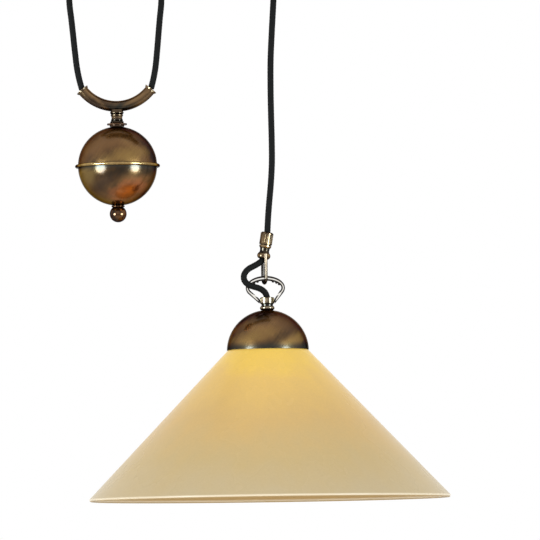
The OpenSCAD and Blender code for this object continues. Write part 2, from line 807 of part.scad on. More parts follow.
module grip_nut() {
    top_bore = cord_d / 2 + 0.2;
    ridges = 18;
    color(brass) at_grip(nut_z) difference() {
        rotate_extrude() polygon([
            [top_bore, grip_nut_h - 4], [top_bore, grip_nut_h], [grip_nut_d / 2 - 1.4, grip_nut_h],
            [grip_nut_d / 2, grip_nut_h - 1.2], [grip_nut_d / 2, 0.8], [grip_nut_d / 2 - 0.8, 0],
            [spigot_d / 2 + screw_gap, 0], [spigot_d / 2 + screw_gap, grip_nut_h - 5]]);
        for (i = [0:ridges - 1]) rotate([0, 0, i * 360 / ridges])
            translate([grip_nut_d / 2 + 0.3, 0, 2.4]) cylinder(h = grip_nut_h - 5, r = 0.45, $fn = 16);
    }
}

module grip_collet() {
    color(black) at_grip(collet_z + 0.1)
        bored(grip_nut_h - 7, cord_d / 2 + 0.15 + collet_wall, cord_d / 2);
}

// ---- Bail

function bail_curve(a, b, low) =
    [for (t = [180 + low:-(180 + 2 * low) / 28:-low]) [a * cos(t) - bail_bias, bail_mid_z + b * sin(t)]];

module bail() {
    outer = bail_w / 2;
    inner = outer - bail_arm;
    rise = bail_bar_z + 0.45 - bail_mid_z;
    ear_in = collar_d / 2 + 0.35;
    ear = [ear_in + 0.8, pin_z - 2.4];
    color(brass) translate([lamp_x, 0, 0]) {
        difference() {
            translate([0, bail_t / 2, 0]) rotate([90, 0, 0]) linear_extrude(bail_t) difference() {
                polygon(concat([[-ear[0], ear[1]]], bail_curve(outer, bail_top_z - bail_mid_z, 25), [ear]));
                difference() {
                    polygon(concat(
                        [[-ear_in, pin_z - 4], [-ear_in, pin_z + 2.1]], bail_curve(inner, rise, 28),
                        [[ear_in, pin_z + 2.1], [ear_in, pin_z - 4]]));
                    for (x = [8.6, 12.4, 15.4], s = [-1, 1])
                        translate([s * x - bail_bias, bail_mid_z + rise * sqrt(1 - pow(x / inner, 2)) + 0.3])
                            circle(r = 1.6, $fn = 24);
                }
            }
            translate([hook_x - lamp_x, 0, hook_z]) rotate([90, 0, hook_turn]) translate([0, 0, -bail_t])
                cylinder(h = 2 * bail_t, r = hook_d / 2 + hook_gap);
        }
        for (s = [0, 1]) mirror([s, 0, 0]) translate([pin_reach, 0, pin_z]) rotate([0, 90, 0])
            cylinder(h = ear_in + 1.5 - pin_reach, d = bail_pin_d);
    }
}

// ---- Lamp

module at_lamp(z) {
    translate([lamp_x, 0, z]) children();
}

module inlet_collar() {
    r = collar_d / 2;
    bore = cord_d / 2 + cord_gap;
    thread = nipple_d / 2 + screw_gap;
    color(brass) at_lamp(0) difference() {
        rotate_extrude() polygon(concat(
            [[bore, collar_top - 1], [bore + 0.8, collar_top], [r - 0.8, collar_top], [r, collar_top - 0.8],
            [r, pin_z - 2.6], [r - 1.5, pin_z - 3.8], [r - 1.5, pin_z - 5]],
            arc(r - 2.3, collar_foot + 2.5, 2.5, 72, -80, 12),
            [[r - 2.3, collar_foot], [thread, collar_foot], [thread, nipple_top + 0.2],
            [bore, nipple_top + 0.2]]));
        translate([-r - 1, 0, pin_z]) rotate([0, 90, 0])
            cylinder(h = 2 * r + 2, d = bail_pin_d + 2 * run_gap);
    }
}

module cap() {
    color(antique) at_lamp(cap_z) difference() {
        sphere(d = cap_d, $fn = 120);
        sphere(d = cap_d - 2 * cap_t, $fn = 120);
        translate([-cap_d, -cap_d, cap_rim_z - cap_z - 2 * cap_d]) cube(2 * cap_d);
        translate([-cap_d, -cap_d, cap_d / 2 - cap_flat]) cube(2 * cap_d);
        cylinder(h = cap_d, d = nipple_d + 0.4);
    }
}

module nipple() {
    color(steel) at_lamp(nipple_foot) bored(nipple_top - nipple_foot, nipple_d / 2, nipple_bore_d / 2);
}

module nipple_nuts() {
    color(steel) for (z = [under_cap - nut_h, holder_top + 0.1]) at_lamp(z) difference() {
        hexagon(nut_h, nut_flats_r);
        translate([0, 0, -1]) cylinder(h = nut_h + 2, d = nipple_d + 2 * screw_gap);
    }
}

module holder_cover() {
    bore = nipple_d / 2 + screw_gap;
    r = holder_d / 2 + 0.2;
    w = cover_wall;
    color(antique) at_lamp(body_top) rotate_extrude() polygon(concat(
        [[bore, cover_h]], arc(r - 7, cover_h - 7, 7, 90, 0, 8), [[r, 0], [r - w, 0]],
        arc(r - 7, cover_h - 7, 7 - w, 0, 90, 8), [[bore, cover_h - w]]));
}

module holder_body() {
    r = holder_d / 2;
    bore = bulb_bore_d / 2;
    thread_h = 20;
    color(black) at_lamp(body_top - body_h) difference() {
        union() {
            translate([0, 0, body_h - thread_h]) cylinder(h = thread_h - 0.1, r = r);
            cylinder(h = body_h - thread_h, r = r - 1.4);
        }
        translate([0, 0, -1]) cylinder(h = body_h + 2, r = bore);
        for (i = [0:5]) translate([0, 0, body_h - 4 - 2.5 * i]) rotate_extrude()
            translate([r + 0.3, 0]) circle(r = 0.7, $fn = 16);
    }
}

module holder_insert() {
    color(white) at_lamp(body_top) difference() {
        union() {
            cylinder(h = insert_h, r = holder_d / 2 - cover_wall - 0.6);
            translate([0, 0, -10]) cylinder(h = 10.1, r = bulb_bore_d / 2 - 0.4);
        }
        for (s = [-1, 1]) translate([s * 8, 0, insert_h - 3]) cylinder(h = 4, d = 4.4);
    }
}

module holder_contacts() {
    color(brass) at_lamp(body_top) {
        translate([0, 0, -12]) cylinder(h = 2, r = 3);
        for (s = [-1, 1]) translate([s * 8, 0, insert_h - 3]) difference() {
            cylinder(h = 3.6, d = 4.2);
            translate([-3, -0.35, 2.8]) cube([6, 0.7, 1]);
        }
    }
}

module shade_ring(z, h) {
    color(black) at_lamp(z) difference() {
        cylinder(h = h, d = ring_d);
        translate([0, 0, -1]) cylinder(h = h + 2, d = holder_d + 0.2);
        for (i = [0:23]) rotate([0, 0, 15 * i]) translate([ring_d / 2 + 0.6, 0, -1])
            cylinder(h = h + 2, r = 1.2, $fn = 16);
    }
}

module shade_ring_upper() {
    shade_ring(shoulder_z + washer_h, ring_h);
}

module shade_ring_lower() {
    shade_ring(shoulder_z - shoulder_t - ring_h, ring_h);
}

module shade_washer() {
    color(black) at_lamp(shoulder_z) bored(washer_h, ring_d / 2 - 0.5, holder_d / 2 + 0.3);
}

function cone_out(z) = cone_r + (cap_z - z) * tan(shade_angle);

module glass_shade() {
    side = glass_t / cos(shade_angle);
    rim_r = rim_d / 2 - rim_bead;
    rim_z = cap_z - (rim_r + rim_bead / cos(shade_angle) - cone_r) / tan(shade_angle);
    out = [cos(shade_angle), sin(shade_angle)];
    up = [-out[1], out[0]];
    lip = [rim_r, rim_z] - (glass_t - rim_bead) * out + (rim_bead + 2.5) * up;
    under = shoulder_z - shoulder_t;
    color(amber) at_lamp(0) rotate_extrude($fn = 180) polygon(concat(
        [[holder_hole_d / 2, shoulder_z], [cone_out(shoulder_z), shoulder_z]],
        arc(rim_r, rim_z, rim_bead, shade_angle, shade_angle - 235, 16),
        [lip, [cone_out(under) - side, under], [holder_hole_d / 2, under]]));
}

module bulb_cap() {
    r = bulb_cap_d / 2;
    color(steel) at_lamp(0) rotate_extrude() polygon([
        [0, bulb_top], [4.5, bulb_top - 0.6], [4.8, bulb_top - 2], [10.5, bulb_top - 4],
        [r - 0.6, bulb_top - 5],
        [r, bulb_top - 7], [r - 0.7, bulb_top - 9], [r, bulb_top - 11], [r - 0.7, bulb_top - 13],
        [r, bulb_top - 15], [r - 0.7, bulb_top - 17], [r, bulb_top - 19],
        [r - 0.4, bulb_seat], [0, bulb_seat]]);
}

// The neck's half widths and heights, as shares of the glass's diameter
bulb_neck = [[0.21, 0], [0.22, 0.1], [0.267, 0.267], [0.342, 0.433]];
function bulb_outline(inset) = let (top = bulb_seat - 0.02) concat(
    [[0, top - inset]],
    [for (p = bulb_neck) [p[0] * bulb_d - inset, top - max(inset, p[1] * bulb_d)]],
    arc(0, bulb_centre, bulb_d / 2 - inset, 36, -90, 20));

module bulb_glass() {
    wall = 1;
    color(white) at_lamp(0) rotate_extrude() difference() {
        polygon(bulb_outline(0));
        polygon(bulb_outline(wall));
    }
}

mounting_plate();
plate_tabs();
canopy();
canopy_screws();
pulley_bracket_left();
pulley_bracket_right();
plate_screws();
pulley_axles();
axle_clips();
anchor_bracket();
anchor_bush();
anchor_nut();
anchor_clamp();
terminal_block();
terminal_screws();
earth_terminal();
inlet_grommet();
pulley_left();
pulley_right();
cord_tail();
cord_over_pulleys();
cord_left_strand();
cord_right_strand();
cord_lamp_strand();
saddle_tube();
tube_ferrules();
neck();
neck_washer();
upper_shell();
equator_band();
lower_shell();
weight_core();
tie_rod();
finial_collar();
finial_ball();
cord_in_tube();
grip_nut();
grip_body();
grip_collet();
suspension_hook();
cord_in_grip();
cord_slack_upper();
bail();
cord_slack_lower();
inlet_collar();
cap();
nipple();
nipple_nuts();
holder_cover();
holder_body();
holder_insert();
holder_contacts();
shade_ring_upper();
shade_ring_lower();
shade_washer();
glass_shade();
bulb_cap();
bulb_glass();
cord_in_lamp();
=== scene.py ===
"""The looks of a rise and fall pendant: its cords, its materials, the camera and the light."""

import math

import bpy
from mathutils import Matrix, Vector


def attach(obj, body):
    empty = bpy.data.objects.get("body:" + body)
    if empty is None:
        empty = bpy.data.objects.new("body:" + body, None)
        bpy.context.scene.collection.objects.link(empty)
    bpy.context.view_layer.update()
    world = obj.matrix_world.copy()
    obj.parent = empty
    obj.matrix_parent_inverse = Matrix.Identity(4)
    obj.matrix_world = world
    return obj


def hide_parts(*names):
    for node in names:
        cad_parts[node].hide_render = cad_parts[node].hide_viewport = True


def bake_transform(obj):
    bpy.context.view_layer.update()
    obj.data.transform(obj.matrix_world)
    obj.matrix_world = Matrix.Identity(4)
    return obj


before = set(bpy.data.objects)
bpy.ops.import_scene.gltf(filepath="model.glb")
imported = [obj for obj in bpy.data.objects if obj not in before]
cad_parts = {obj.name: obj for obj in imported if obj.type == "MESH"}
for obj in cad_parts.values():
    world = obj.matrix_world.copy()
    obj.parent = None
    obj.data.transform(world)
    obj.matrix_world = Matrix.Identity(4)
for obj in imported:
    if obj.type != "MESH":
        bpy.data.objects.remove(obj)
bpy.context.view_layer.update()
MM = 0.001

# The cord grip's middle, in millimetres, and its lean
GRIP = Vector((98.5, 0, -348.2))
GRIP_LEAN = math.radians(9.5)


def grip_point(height):
    """A point on the grip's leaning axis, in millimetres."""
    return tuple(GRIP + height * Vector((math.sin(GRIP_LEAN), 0, math.cos(GRIP_LEAN))))


# ---- Camera -------------------------------------------------------------

# In metres, with the view's width at the point looked at and the sensor's in millimetres
LOOK_AT = Vector((0.10517, 0, -0.3641))
CAMERA_DISTANCE = 6.18
CAMERA_HEIGHT = -0.711
VIEW_WIDTH = 0.5994
SENSOR = 36
ROLL = math.radians(0.85)


def make_camera():
    drop = LOOK_AT.z - CAMERA_HEIGHT
    run = math.sqrt(CAMERA_DISTANCE**2 - drop**2)
    data = bpy.data.cameras.new("camera")
    data.sensor_width = SENSOR
    data.lens = SENSOR * CAMERA_DISTANCE / VIEW_WIDTH
    data.clip_start = 0.1
    data.clip_end = 60
    camera = bpy.data.objects.new("camera", data)
    bpy.context.scene.collection.objects.link(camera)
    place = Vector((LOOK_AT.x, -run, CAMERA_HEIGHT))
    aim = (LOOK_AT - place).to_track_quat("-Z", "Y").to_matrix().to_4x4()
    camera.matrix_world = Matrix.Translation(place) @ aim @ Matrix.Rotation(-ROLL, 4, "Z")
    bpy.context.scene.camera = camera


# ---- Light and surroundings ----------------------------------------------

SOFTBOXES = [
    # place, size, power, lights surfaces, seen in reflections
    ((-1.75, -1.45, -0.40), (0.9, 0.7), 20, True, False),
    ((1.95, -1.45, -0.40), (0.9, 0.7), 17, True, False),
    ((-0.3, -1.8, 1.7), (2.2, 1.6), 3, True, False),
    ((-1.75, -1.45, -0.53), (1.2, 0.95), 88, False, True),
    ((1.95, -1.45, -0.53), (1.2, 0.95), 78, False, True),
]
DAYLIGHT = (0.72, 0.90, 1.0)
AMBIENT = 0.62


def make_light():
    for i, (place, size, power, lights, reflected) in enumerate(SOFTBOXES):
        data = bpy.data.lights.new(f"softbox_{i}", "AREA")
        data.shape = "ELLIPSE"
        data.size, data.size_y = size
        data.energy = power
        if reflected:
            data.color = DAYLIGHT
        lamp = bpy.data.objects.new(f"softbox_{i}", data)
        bpy.context.scene.collection.objects.link(lamp)
        lamp.visible_diffuse = lights
        lamp.visible_glossy = reflected
        lamp.location = place
        lamp.rotation_euler = (LOOK_AT - Vector(place)).to_track_quat("-Z", "Y").to_euler()


def make_world():
    world = bpy.data.worlds.new("studio")
    bpy.context.scene.world = world
    world.use_nodes = True
    tree = world.node_tree
    tree.nodes.clear()
    path = make(tree, "ShaderNodeLightPath")
    seen = make(tree, "ShaderNodeMath", {0: path.outputs["Is Camera Ray"], 1: path.outputs["Is Glossy Ray"]},
                operation="MAXIMUM")
    seen = make(tree, "ShaderNodeMath", {0: seen.outputs[0], 1: path.outputs["Is Transmission Ray"]},
                operation="MAXIMUM")
    soft = make(tree, "ShaderNodeBackground", {"Color": (1, 1, 1, 1), "Strength": AMBIENT})
    white = make(tree, "ShaderNodeBackground", {"Color": (1, 1, 1, 1), "Strength": 1})
    mix = make(tree, "ShaderNodeMixShader", {0: seen.outputs[0], 1: soft.outputs[0], 2: white.outputs[0]})
    make(tree, "ShaderNodeOutputWorld", {"Surface": mix.outputs[0]})


# ---- Node helpers ----------------------------------------------------------

def make(tree, kind, sockets=None, **settings):
    """Adds a node. A socket given as a value is set, and one given as an output is linked."""
    made = tree.nodes.new(kind)
    for key, value in settings.items():
        setattr(made, key, value)
    for key, value in (sockets or {}).items():
        if isinstance(value, bpy.types.NodeSocket):
            tree.links.new(value, made.inputs[key])
        else:
            made.inputs[key].default_value = value
    return made


def place_of(tree, stretch=(1, 1, 1), turn=(0, 0, 0)):
    """The point on the piece, in metres, turned by degrees and then stretched."""
    coords = make(tree, "ShaderNodeTexCoord").outputs["Object"]
    turned = make(tree, "ShaderNodeMapping",
                  {"Vector": coords, "Rotation": [math.radians(a) for a in turn]})
    return make(tree, "ShaderNodeMapping", {"Vector": turned.outputs[0], "Scale": stretch}).outputs[0]


def noise(tree, vector, scale, detail=2.0, rough=0.5):
    return make(tree, "ShaderNodeTexNoise",
                {"Vector": vector, "Scale": scale, "Detail": detail, "Roughness": rough}).outputs[0]


def ramp(tree, factor, stops):
    made = make(tree, "ShaderNodeValToRGB", {0: factor})
    points = made.color_ramp.elements
    while len(points) < len(stops):
        points.new(0.5)
    for point, (at, colour) in zip(points, stops):
        point.position = at
        point.color = (*colour, 1)
    return made.outputs[0]


def span(tree, factor, low, high, start=0.0, end=1.0):
    """Maps start to low and end to high."""
    return make(tree, "ShaderNodeMapRange",
                {"Value": factor, "From Min": start, "From Max": end,
                 "To Min": low, "To Max": high}).outputs[0]


def blend_colours(tree, factor, a, b, kind="MIX"):
    """Mixes two colours. Each is a colour or an output."""
    made = make(tree, "ShaderNodeMix", data_type="RGBA", blend_type=kind)
    for socket, value in ((0, factor), (6, a), (7, b)):
        if isinstance(value, bpy.types.NodeSocket):
            tree.links.new(value, made.inputs[socket])
        else:
            made.inputs[socket].default_value = value if socket == 0 else (*value, 1)
    return made.outputs[2]


def plus(tree, a, b):
    return make(tree, "ShaderNodeMath", {0: a, 1: b}, operation="ADD").outputs[0]


def axis_of(tree, vector, axis):
    return make(tree, "ShaderNodeSeparateXYZ", {0: vector}).outputs[axis]


def bump(tree, height, distance, strength):
    return make(tree, "ShaderNodeBump",
                {"Height": height, "Distance": distance, "Strength": strength}).outputs[0]


# How far from another surface a corner still counts as one, in metres
CORNER_REACH = 0.0035


def shade_in_corners(tree, colour, shade_tone):
    """Darkens a colour in grooves and where pieces meet, by ambient occlusion: painted shade, with some
    patina.
    """
    open_sky = make(tree, "ShaderNodeAmbientOcclusion", {"Distance": CORNER_REACH}, samples=8).outputs["AO"]
    return blend_colours(tree, span(tree, open_sky, 0.9, 0, 0.35, 0.85), colour, shade_tone)


# A reach along Y so long that depth plays no part
ALL_DEPTH = 1000


def shaded_ring_edges(tree, colour, shade_tone, centre, inner, outer, arms):
    """Paints shade on both edges of a flat ring between two ellipses in the XZ plane, and of its arms.

    Each arm is its middle, its half length and half width, and its turn about Y in degrees.
    """
    point = make(tree, "ShaderNodeTexCoord").outputs["Object"]
    spans = []
    for half_x, half_z in (inner, outer):
        local = make(tree, "ShaderNodeMapping", {
            "Vector": point, "Location": centre, "Scale": (half_x, ALL_DEPTH, half_z)},
            vector_type="TEXTURE").outputs[0]
        size = make(tree, "ShaderNodeVectorMath", {0: local}, operation="LENGTH").outputs["Value"]
        spans.append(make(tree, "ShaderNodeMath", {0: size, 1: 1.0}, operation="SUBTRACT").outputs[0])
    whole = make(tree, "ShaderNodeMath", {0: spans[0], 1: spans[1]}, operation="SUBTRACT").outputs[0]
    share = make(tree, "ShaderNodeMath", {0: spans[0], 1: whole}, operation="DIVIDE").outputs[0]
    lit_band = ramp(tree, share, [(0.0, (0, 0, 0)), (0.42, (0, 0, 0)), (0.52, (1, 1, 1)), (0.66, (1, 1, 1)),
                               (0.76, (0, 0, 0))])
    for middle, half, turn in arms:
        local = make(tree, "ShaderNodeMapping", {
            "Vector": point, "Location": middle, "Rotation": (0, math.radians(turn), 0),
            "Scale": (half[0], ALL_DEPTH, half[1])}, vector_type="TEXTURE").outputs[0]
        away = make(tree, "ShaderNodeVectorMath", {0: local}, operation="LENGTH").outputs["Value"]
        lit_band = make(tree, "ShaderNodeMath", {0: lit_band, 1: span(tree, away, 1, 0, 0.8, 1.1)},
                     operation="MAXIMUM").outputs[0]
    return blend_colours(tree, lit_band, shade_tone, colour)


# The turn of the brush lines, in degrees
BRUSHED = (0, 55, 0)


def reflection_patches(tree, colour, patches):
    """Lays soft patches of painted reflection and painted shade over a colour, the same on front and back.

    Each is a place, its reach along X, Y and Z, its turn about Y in degrees, a tone and its strength.
    """
    point = make(tree, "ShaderNodeTexCoord").outputs["Object"]
    parts = make(tree, "ShaderNodeSeparateXYZ", {0: point})
    depth = make(tree, "ShaderNodeMath", {0: parts.outputs[1]}, operation="ABSOLUTE").outputs[0]
    point = make(tree, "ShaderNodeCombineXYZ",
                 {0: parts.outputs[0], 1: depth, 2: parts.outputs[2]}).outputs[0]
    strokes = noise(tree, place_of(tree, (0.12, 0.12, 1), BRUSHED), 420, 3, 0.6)
    drift = noise(tree, place_of(tree), 60, 3, 0.6)
    ragged = plus(tree, span(tree, strokes, -0.16, 0.16, 0.3, 0.7), span(tree, drift, -0.3, 0.3, 0.3, 0.7))
    for place, reach, turn, tone, strength in patches:
        local = make(tree, "ShaderNodeMapping", {
            "Vector": point, "Location": place, "Rotation": (0, math.radians(turn), 0), "Scale": reach},
            vector_type="TEXTURE").outputs[0]
        away = make(tree, "ShaderNodeVectorMath", {0: local}, operation="LENGTH").outputs["Value"]
        away = plus(tree, away, ragged)
        mask = make(tree, "ShaderNodeMapRange", {
            "Value": away, "From Min": 0.0, "From Max": 1.5, "To Min": strength, "To Max": 0.0},
            interpolation_type="SMOOTHSTEP").outputs[0]
        colour = blend_colours(tree, mask, colour, tone)
    return colour


def belted(tree, colour, low, high, tone):
    """Lays painted shade as a tone over the height from low, where it is full, to high, where it ends."""
    height = axis_of(tree, make(tree, "ShaderNodeTexCoord").outputs["Object"], 2)
    return blend_colours(tree, span(tree, height, 0.85, 0, low, high), colour, tone)


def lacquer(tree, weight):
    """A clear coat's weight: full where the surface faces the eye, none at a glancing angle."""
    facing = make(tree, "ShaderNodeLayerWeight", {"Blend": 0.5}).outputs["Facing"]
    return span(tree, facing, weight, 0, 0.3, 0.7)


def material(name, paint, **sockets):
    """A material round one Principled shader. paint(tree) gives its linked sockets."""
    made = bpy.data.materials.new(name)
    made.use_nodes = True
    tree = made.node_tree
    shader = tree.nodes["Principled BSDF"]
    for key, value in sockets.items():
        shader.inputs[key.replace("_", " ")].default_value = value
    for key, output in paint(tree).items():
        tree.links.new(output, shader.inputs[key])
    return made


# ---- Materials ---------------------------------------------------------------

# Dark tones for painted shade: with patina in the grooves of antique brass, with grime in those of polished
# brass and along the bail's edges, and unlit on the far side of a piece
SHADE_AND_PATINA = (0.012, 0.008, 0.005)
SHADE_AND_GRIME = (0.010, 0.007, 0.005)
UNLIT = (0.016, 0.011, 0.008)


def antique(name, stops, patches=(), belt=None, rough=(0.17, 0.27)):
    """Brushed and lacquered antique brass: soft slanting bands, faint blotches and fine brush lines."""
    def paint(tree):
        slanted = place_of(tree, (1, 1, 0.3), BRUSHED)
        bands = noise(tree, slanted, 34, 1.5, 0.45)
        blotches = noise(tree, place_of(tree), 70, 4, 0.6)
        lines = noise(tree, place_of(tree, (0.06, 0.06, 1), BRUSHED), 900, 3, 0.6)
        factor = plus(tree, bands, span(tree, blotches, -0.035, 0.035, 0.25, 0.75))
        factor = plus(tree, factor, span(tree, lines, -0.03, 0.03, 0.3, 0.7))
        # Patches of painted reflection and painted shade, and a belt of painted dark reflection and shade
        colour = reflection_patches(tree, ramp(tree, factor, stops), patches)
        if belt:
            colour = belted(tree, colour, *belt)
        return {
            "Base Color": shade_in_corners(tree, colour, SHADE_AND_PATINA),
            "Roughness": span(tree, blotches, *rough, 0.3, 0.7),
            "Normal": bump(tree, lines, 0.00006, 0.5),
            "Coat Weight": lacquer(tree, 0.45),
        }
    return material(name, paint, Metallic=1.0, Coat_Roughness=0.16, Specular_Tint=(0.36, 0.34, 0.32, 1))


def painted_reflection_bands(tree, colour, foot, lean, height, tones):
    """Paints reflections and shade on a turned piece by its height along its own leaning axis, as tones from
    0 to 1.
    """
    point = make(tree, "ShaderNodeTexCoord").outputs["Object"]
    local = make(tree, "ShaderNodeMapping", {
        "Vector": point, "Location": foot, "Rotation": (0, lean, 0), "Scale": (1, 1, height)},
        vector_type="TEXTURE").outputs[0]
    tone = ramp(tree, axis_of(tree, local, 2), [(at, (tone, tone, tone)) for at, tone in tones])
    return blend_colours(tree, 1.0, colour, tone, "MULTIPLY")


def polished(name, light, dark, rough=(0.06, 0.14), mottle=110, stretch=(1, 1, 1), ring=None, shade_from_depth=None,
             bands=None):
    """Polished brass with handling marks and darker blotches.

    A ring gets painted shade at its edges, bands paint reflections and shade by height, and a depth
    gives painted shade to what lies further back.
    """
    def paint(tree):
        blotches = noise(tree, place_of(tree, stretch), mottle, 3, 0.5)
        smears = noise(tree, place_of(tree, (1, 1, 0.4), (30, 20, 0)), 320, 3, 0.6)
        colour = ramp(tree, blotches, [(0.35, dark), (0.6, light)])
        if bands:
            colour = painted_reflection_bands(tree, colour, *bands)
        if ring:
            colour = shaded_ring_edges(tree, colour, SHADE_AND_GRIME, *ring)
        if shade_from_depth is not None:
            depth = axis_of(tree, make(tree, "ShaderNodeTexCoord").outputs["Object"], 1)
            colour = blend_colours(tree, span(tree, depth, 0, 0.92, shade_from_depth, shade_from_depth + 0.002), colour, UNLIT)
        return {
            "Base Color": shade_in_corners(tree, colour, SHADE_AND_GRIME),
            "Roughness": span(tree, smears, *rough, 0.3, 0.7),
            "Normal": bump(tree, smears, 0.00002, 0.06),
            "Coat Weight": lacquer(tree, 0.35),
        }
    return material(name, paint, Metallic=1.0, Coat_Roughness=0.1, Specular_Tint=(0.02, 0.015, 0.01, 1))


def steel(name, light, dark, rough=(0.3, 0.5), scale=160):
    """Zinc-plated or raw steel with a spangled tone."""
    def paint(tree):
        cells = make(tree, "ShaderNodeTexVoronoi", {"Vector": place_of(tree), "Scale": scale})
        tone = axis_of(tree, cells.outputs["Color"], 0)
        grain = noise(tree, place_of(tree), 700, 3)
        return {
            "Base Color": ramp(tree, tone, [(0.0, dark), (1.0, light)]),
            "Roughness": span(tree, tone, *rough),
            "Normal": bump(tree, grain, 0.00004, 0.4),
        }
    return material(name, paint, Metallic=1.0)


def moulded(name, light, dark, rough=(0.25, 0.4), scale=90, **sockets):
    """Moulded plastic, rubber or glazed ceramic: a faint swirl and a fine skin."""
    def paint(tree):
        swirl = noise(tree, place_of(tree, (1, 1, 0.5)), scale, 5, 0.6)
        grain = noise(tree, place_of(tree), 1400, 2)
        return {
            "Base Color": ramp(tree, swirl, [(0.3, dark), (0.7, light)]),
            "Roughness": span(tree, swirl, *rough, 0.3, 0.7),
            "Normal": bump(tree, grain, 0.00003, 0.5),
        }
    return material(name, paint, **sockets)


def textile(name):
    """Black braided cotton, with lint and a soft sheen."""
    def paint(tree):
        lint = noise(tree, place_of(tree), 1600, 3, 0.7)
        wear = noise(tree, place_of(tree), 70, 3)
        colour = ramp(tree, lint, [(0.35, (0.003, 0.003, 0.003)), (0.75, (0.016, 0.016, 0.015))])
        colour = blend_colours(tree, span(tree, wear, 0, 0.4, 0.45, 0.75), colour, (0.008, 0.009, 0.008))
        return {
            "Base Color": colour,
            "Roughness": span(tree, lint, 0.62, 0.85),
            "Normal": bump(tree, lint, 0.0001, 0.6),
        }
    return material(name, paint, Sheen_Weight=0.01, Sheen_Roughness=0.4, Specular_IOR_Level=0.08)


# Heights on the shade, in metres: its ends, the edge of its rounded rim and its lowest line
SHADE_FOOT = -0.618
SHADE_TOP = -0.445
RIM_EDGE = (-0.6164, -0.6152)
LIP_EDGE = (-0.6182, -0.6174)


def glass_of_shade():
    """Cased amber glass painted as lit from within: deep by the cap, tan in the middle and pale at the rim.
    """
    def paint(tree):
        z = axis_of(tree, place_of(tree), 2)
        cloud = noise(tree, place_of(tree, (1, 1, 0.6)), 9, 4, 0.55)
        fleck = noise(tree, place_of(tree), 420, 2, 0.6)
        streak = noise(tree, place_of(tree, (1, 1, 0.08)), 55, 2, 0.5)
        height = plus(tree, z, span(tree, cloud, -0.010, 0.010, 0.3, 0.7))
        height = plus(tree, height, span(tree, streak, -0.005, 0.005, 0.3, 0.7))
        along = span(tree, height, 0, 1, SHADE_FOOT, SHADE_TOP)
        body = [(0.0, (0.53, 0.43, 0.26)), (0.25, (0.54, 0.41, 0.20)), (0.5, (0.62, 0.42, 0.165)),
                (0.76, (0.75, 0.495, 0.15)), (0.88, (0.82, 0.55, 0.115)), (1.0, (0.84, 0.56, 0.10))]
        glow = [(0.0, (0.55, 0.44, 0.24)), (0.5, (0.72, 0.48, 0.17)), (1.0, (1.0, 0.68, 0.13))]
        colour = blend_colours(tree, span(tree, fleck, 0.0, 0.10, 0.3, 0.7), ramp(tree, along, body),
                               (0.30, 0.22, 0.11))
        # Painted shade makes the inner side, which faces down, deeper amber, the rounded rim gets a paler
        # painted highlight, and its lowest line a painted dark line
        facing = axis_of(tree, make(tree, "ShaderNodeTexCoord").outputs["Normal"], 2)
        colour = blend_colours(tree, span(tree, facing, 1, 0, -0.55, -0.25), colour, (0.50, 0.30, 0.10))
        rim = make(tree, "ShaderNodeMath", {0: span(tree, z, 1, 0, *RIM_EDGE),
                                            1: span(tree, facing, 0, 1, -0.75, -0.3)},
                   operation="MULTIPLY").outputs[0]
        colour = blend_colours(tree, rim, colour, (0.76, 0.66, 0.48))
        colour = blend_colours(tree, span(tree, z, 0.8, 0, *LIP_EDGE), colour, (0.36, 0.23, 0.08))
        ripple = noise(tree, place_of(tree), 28, 2)
        # A painted glow, deepest by the cap and brightest on the rim's painted highlight
        return {
            "Base Color": colour,
            "Emission Color": blend_colours(tree, rim, ramp(tree, along, glow), (0.9, 0.8, 0.6)),
            "Roughness": span(tree, cloud, 0.22, 0.32),
            "Normal": bump(tree, ripple, 0.0006, 0.2),
        }
    return material("amber_glass_look", paint, Emission_Strength=0.15, IOR=1.25)


def glass_of_bulb():
    def paint(tree):
        cloud = noise(tree, place_of(tree), 40, 3)
        return {
            "Base Color": ramp(tree, cloud, [(0.2, (0.86, 0.80, 0.66)), (0.8, (0.92, 0.87, 0.76))]),
            "Roughness": span(tree, cloud, 0.2, 0.32),
        }
    return material("opal_glass_look", paint, Emission_Color=(1, 0.86, 0.6, 1), Emission_Strength=0.9,
                    Coat_Weight=0.3)


DARK = (0.034, 0.016, 0.005)
BROWN = (0.100, 0.045, 0.013)
TAN = (0.18, 0.090, 0.028)
GOLD = (0.32, 0.185, 0.055)
TEAL = (0.014, 0.017, 0.013)
OLIVE = (0.25, 0.145, 0.038)
COPPER = (0.46, 0.15, 0.045)
AGED = [(0.32, DARK), (0.44, BROWN), (0.58, TAN), (0.76, GOLD)]

# The bail's centre, its inner and outer half widths and half heights, and its arms, which place the painted
# shade along its edges
BAIL_RING = ((0.0997, 0, -0.384), (0.0178, 0.0081), (0.0218, 0.0134),
             [((0.1146, 0, -0.3931), (0.0066, 0.0008), -56), ((0.0866, 0, -0.3931), (0.0076, 0.0008), 44)])

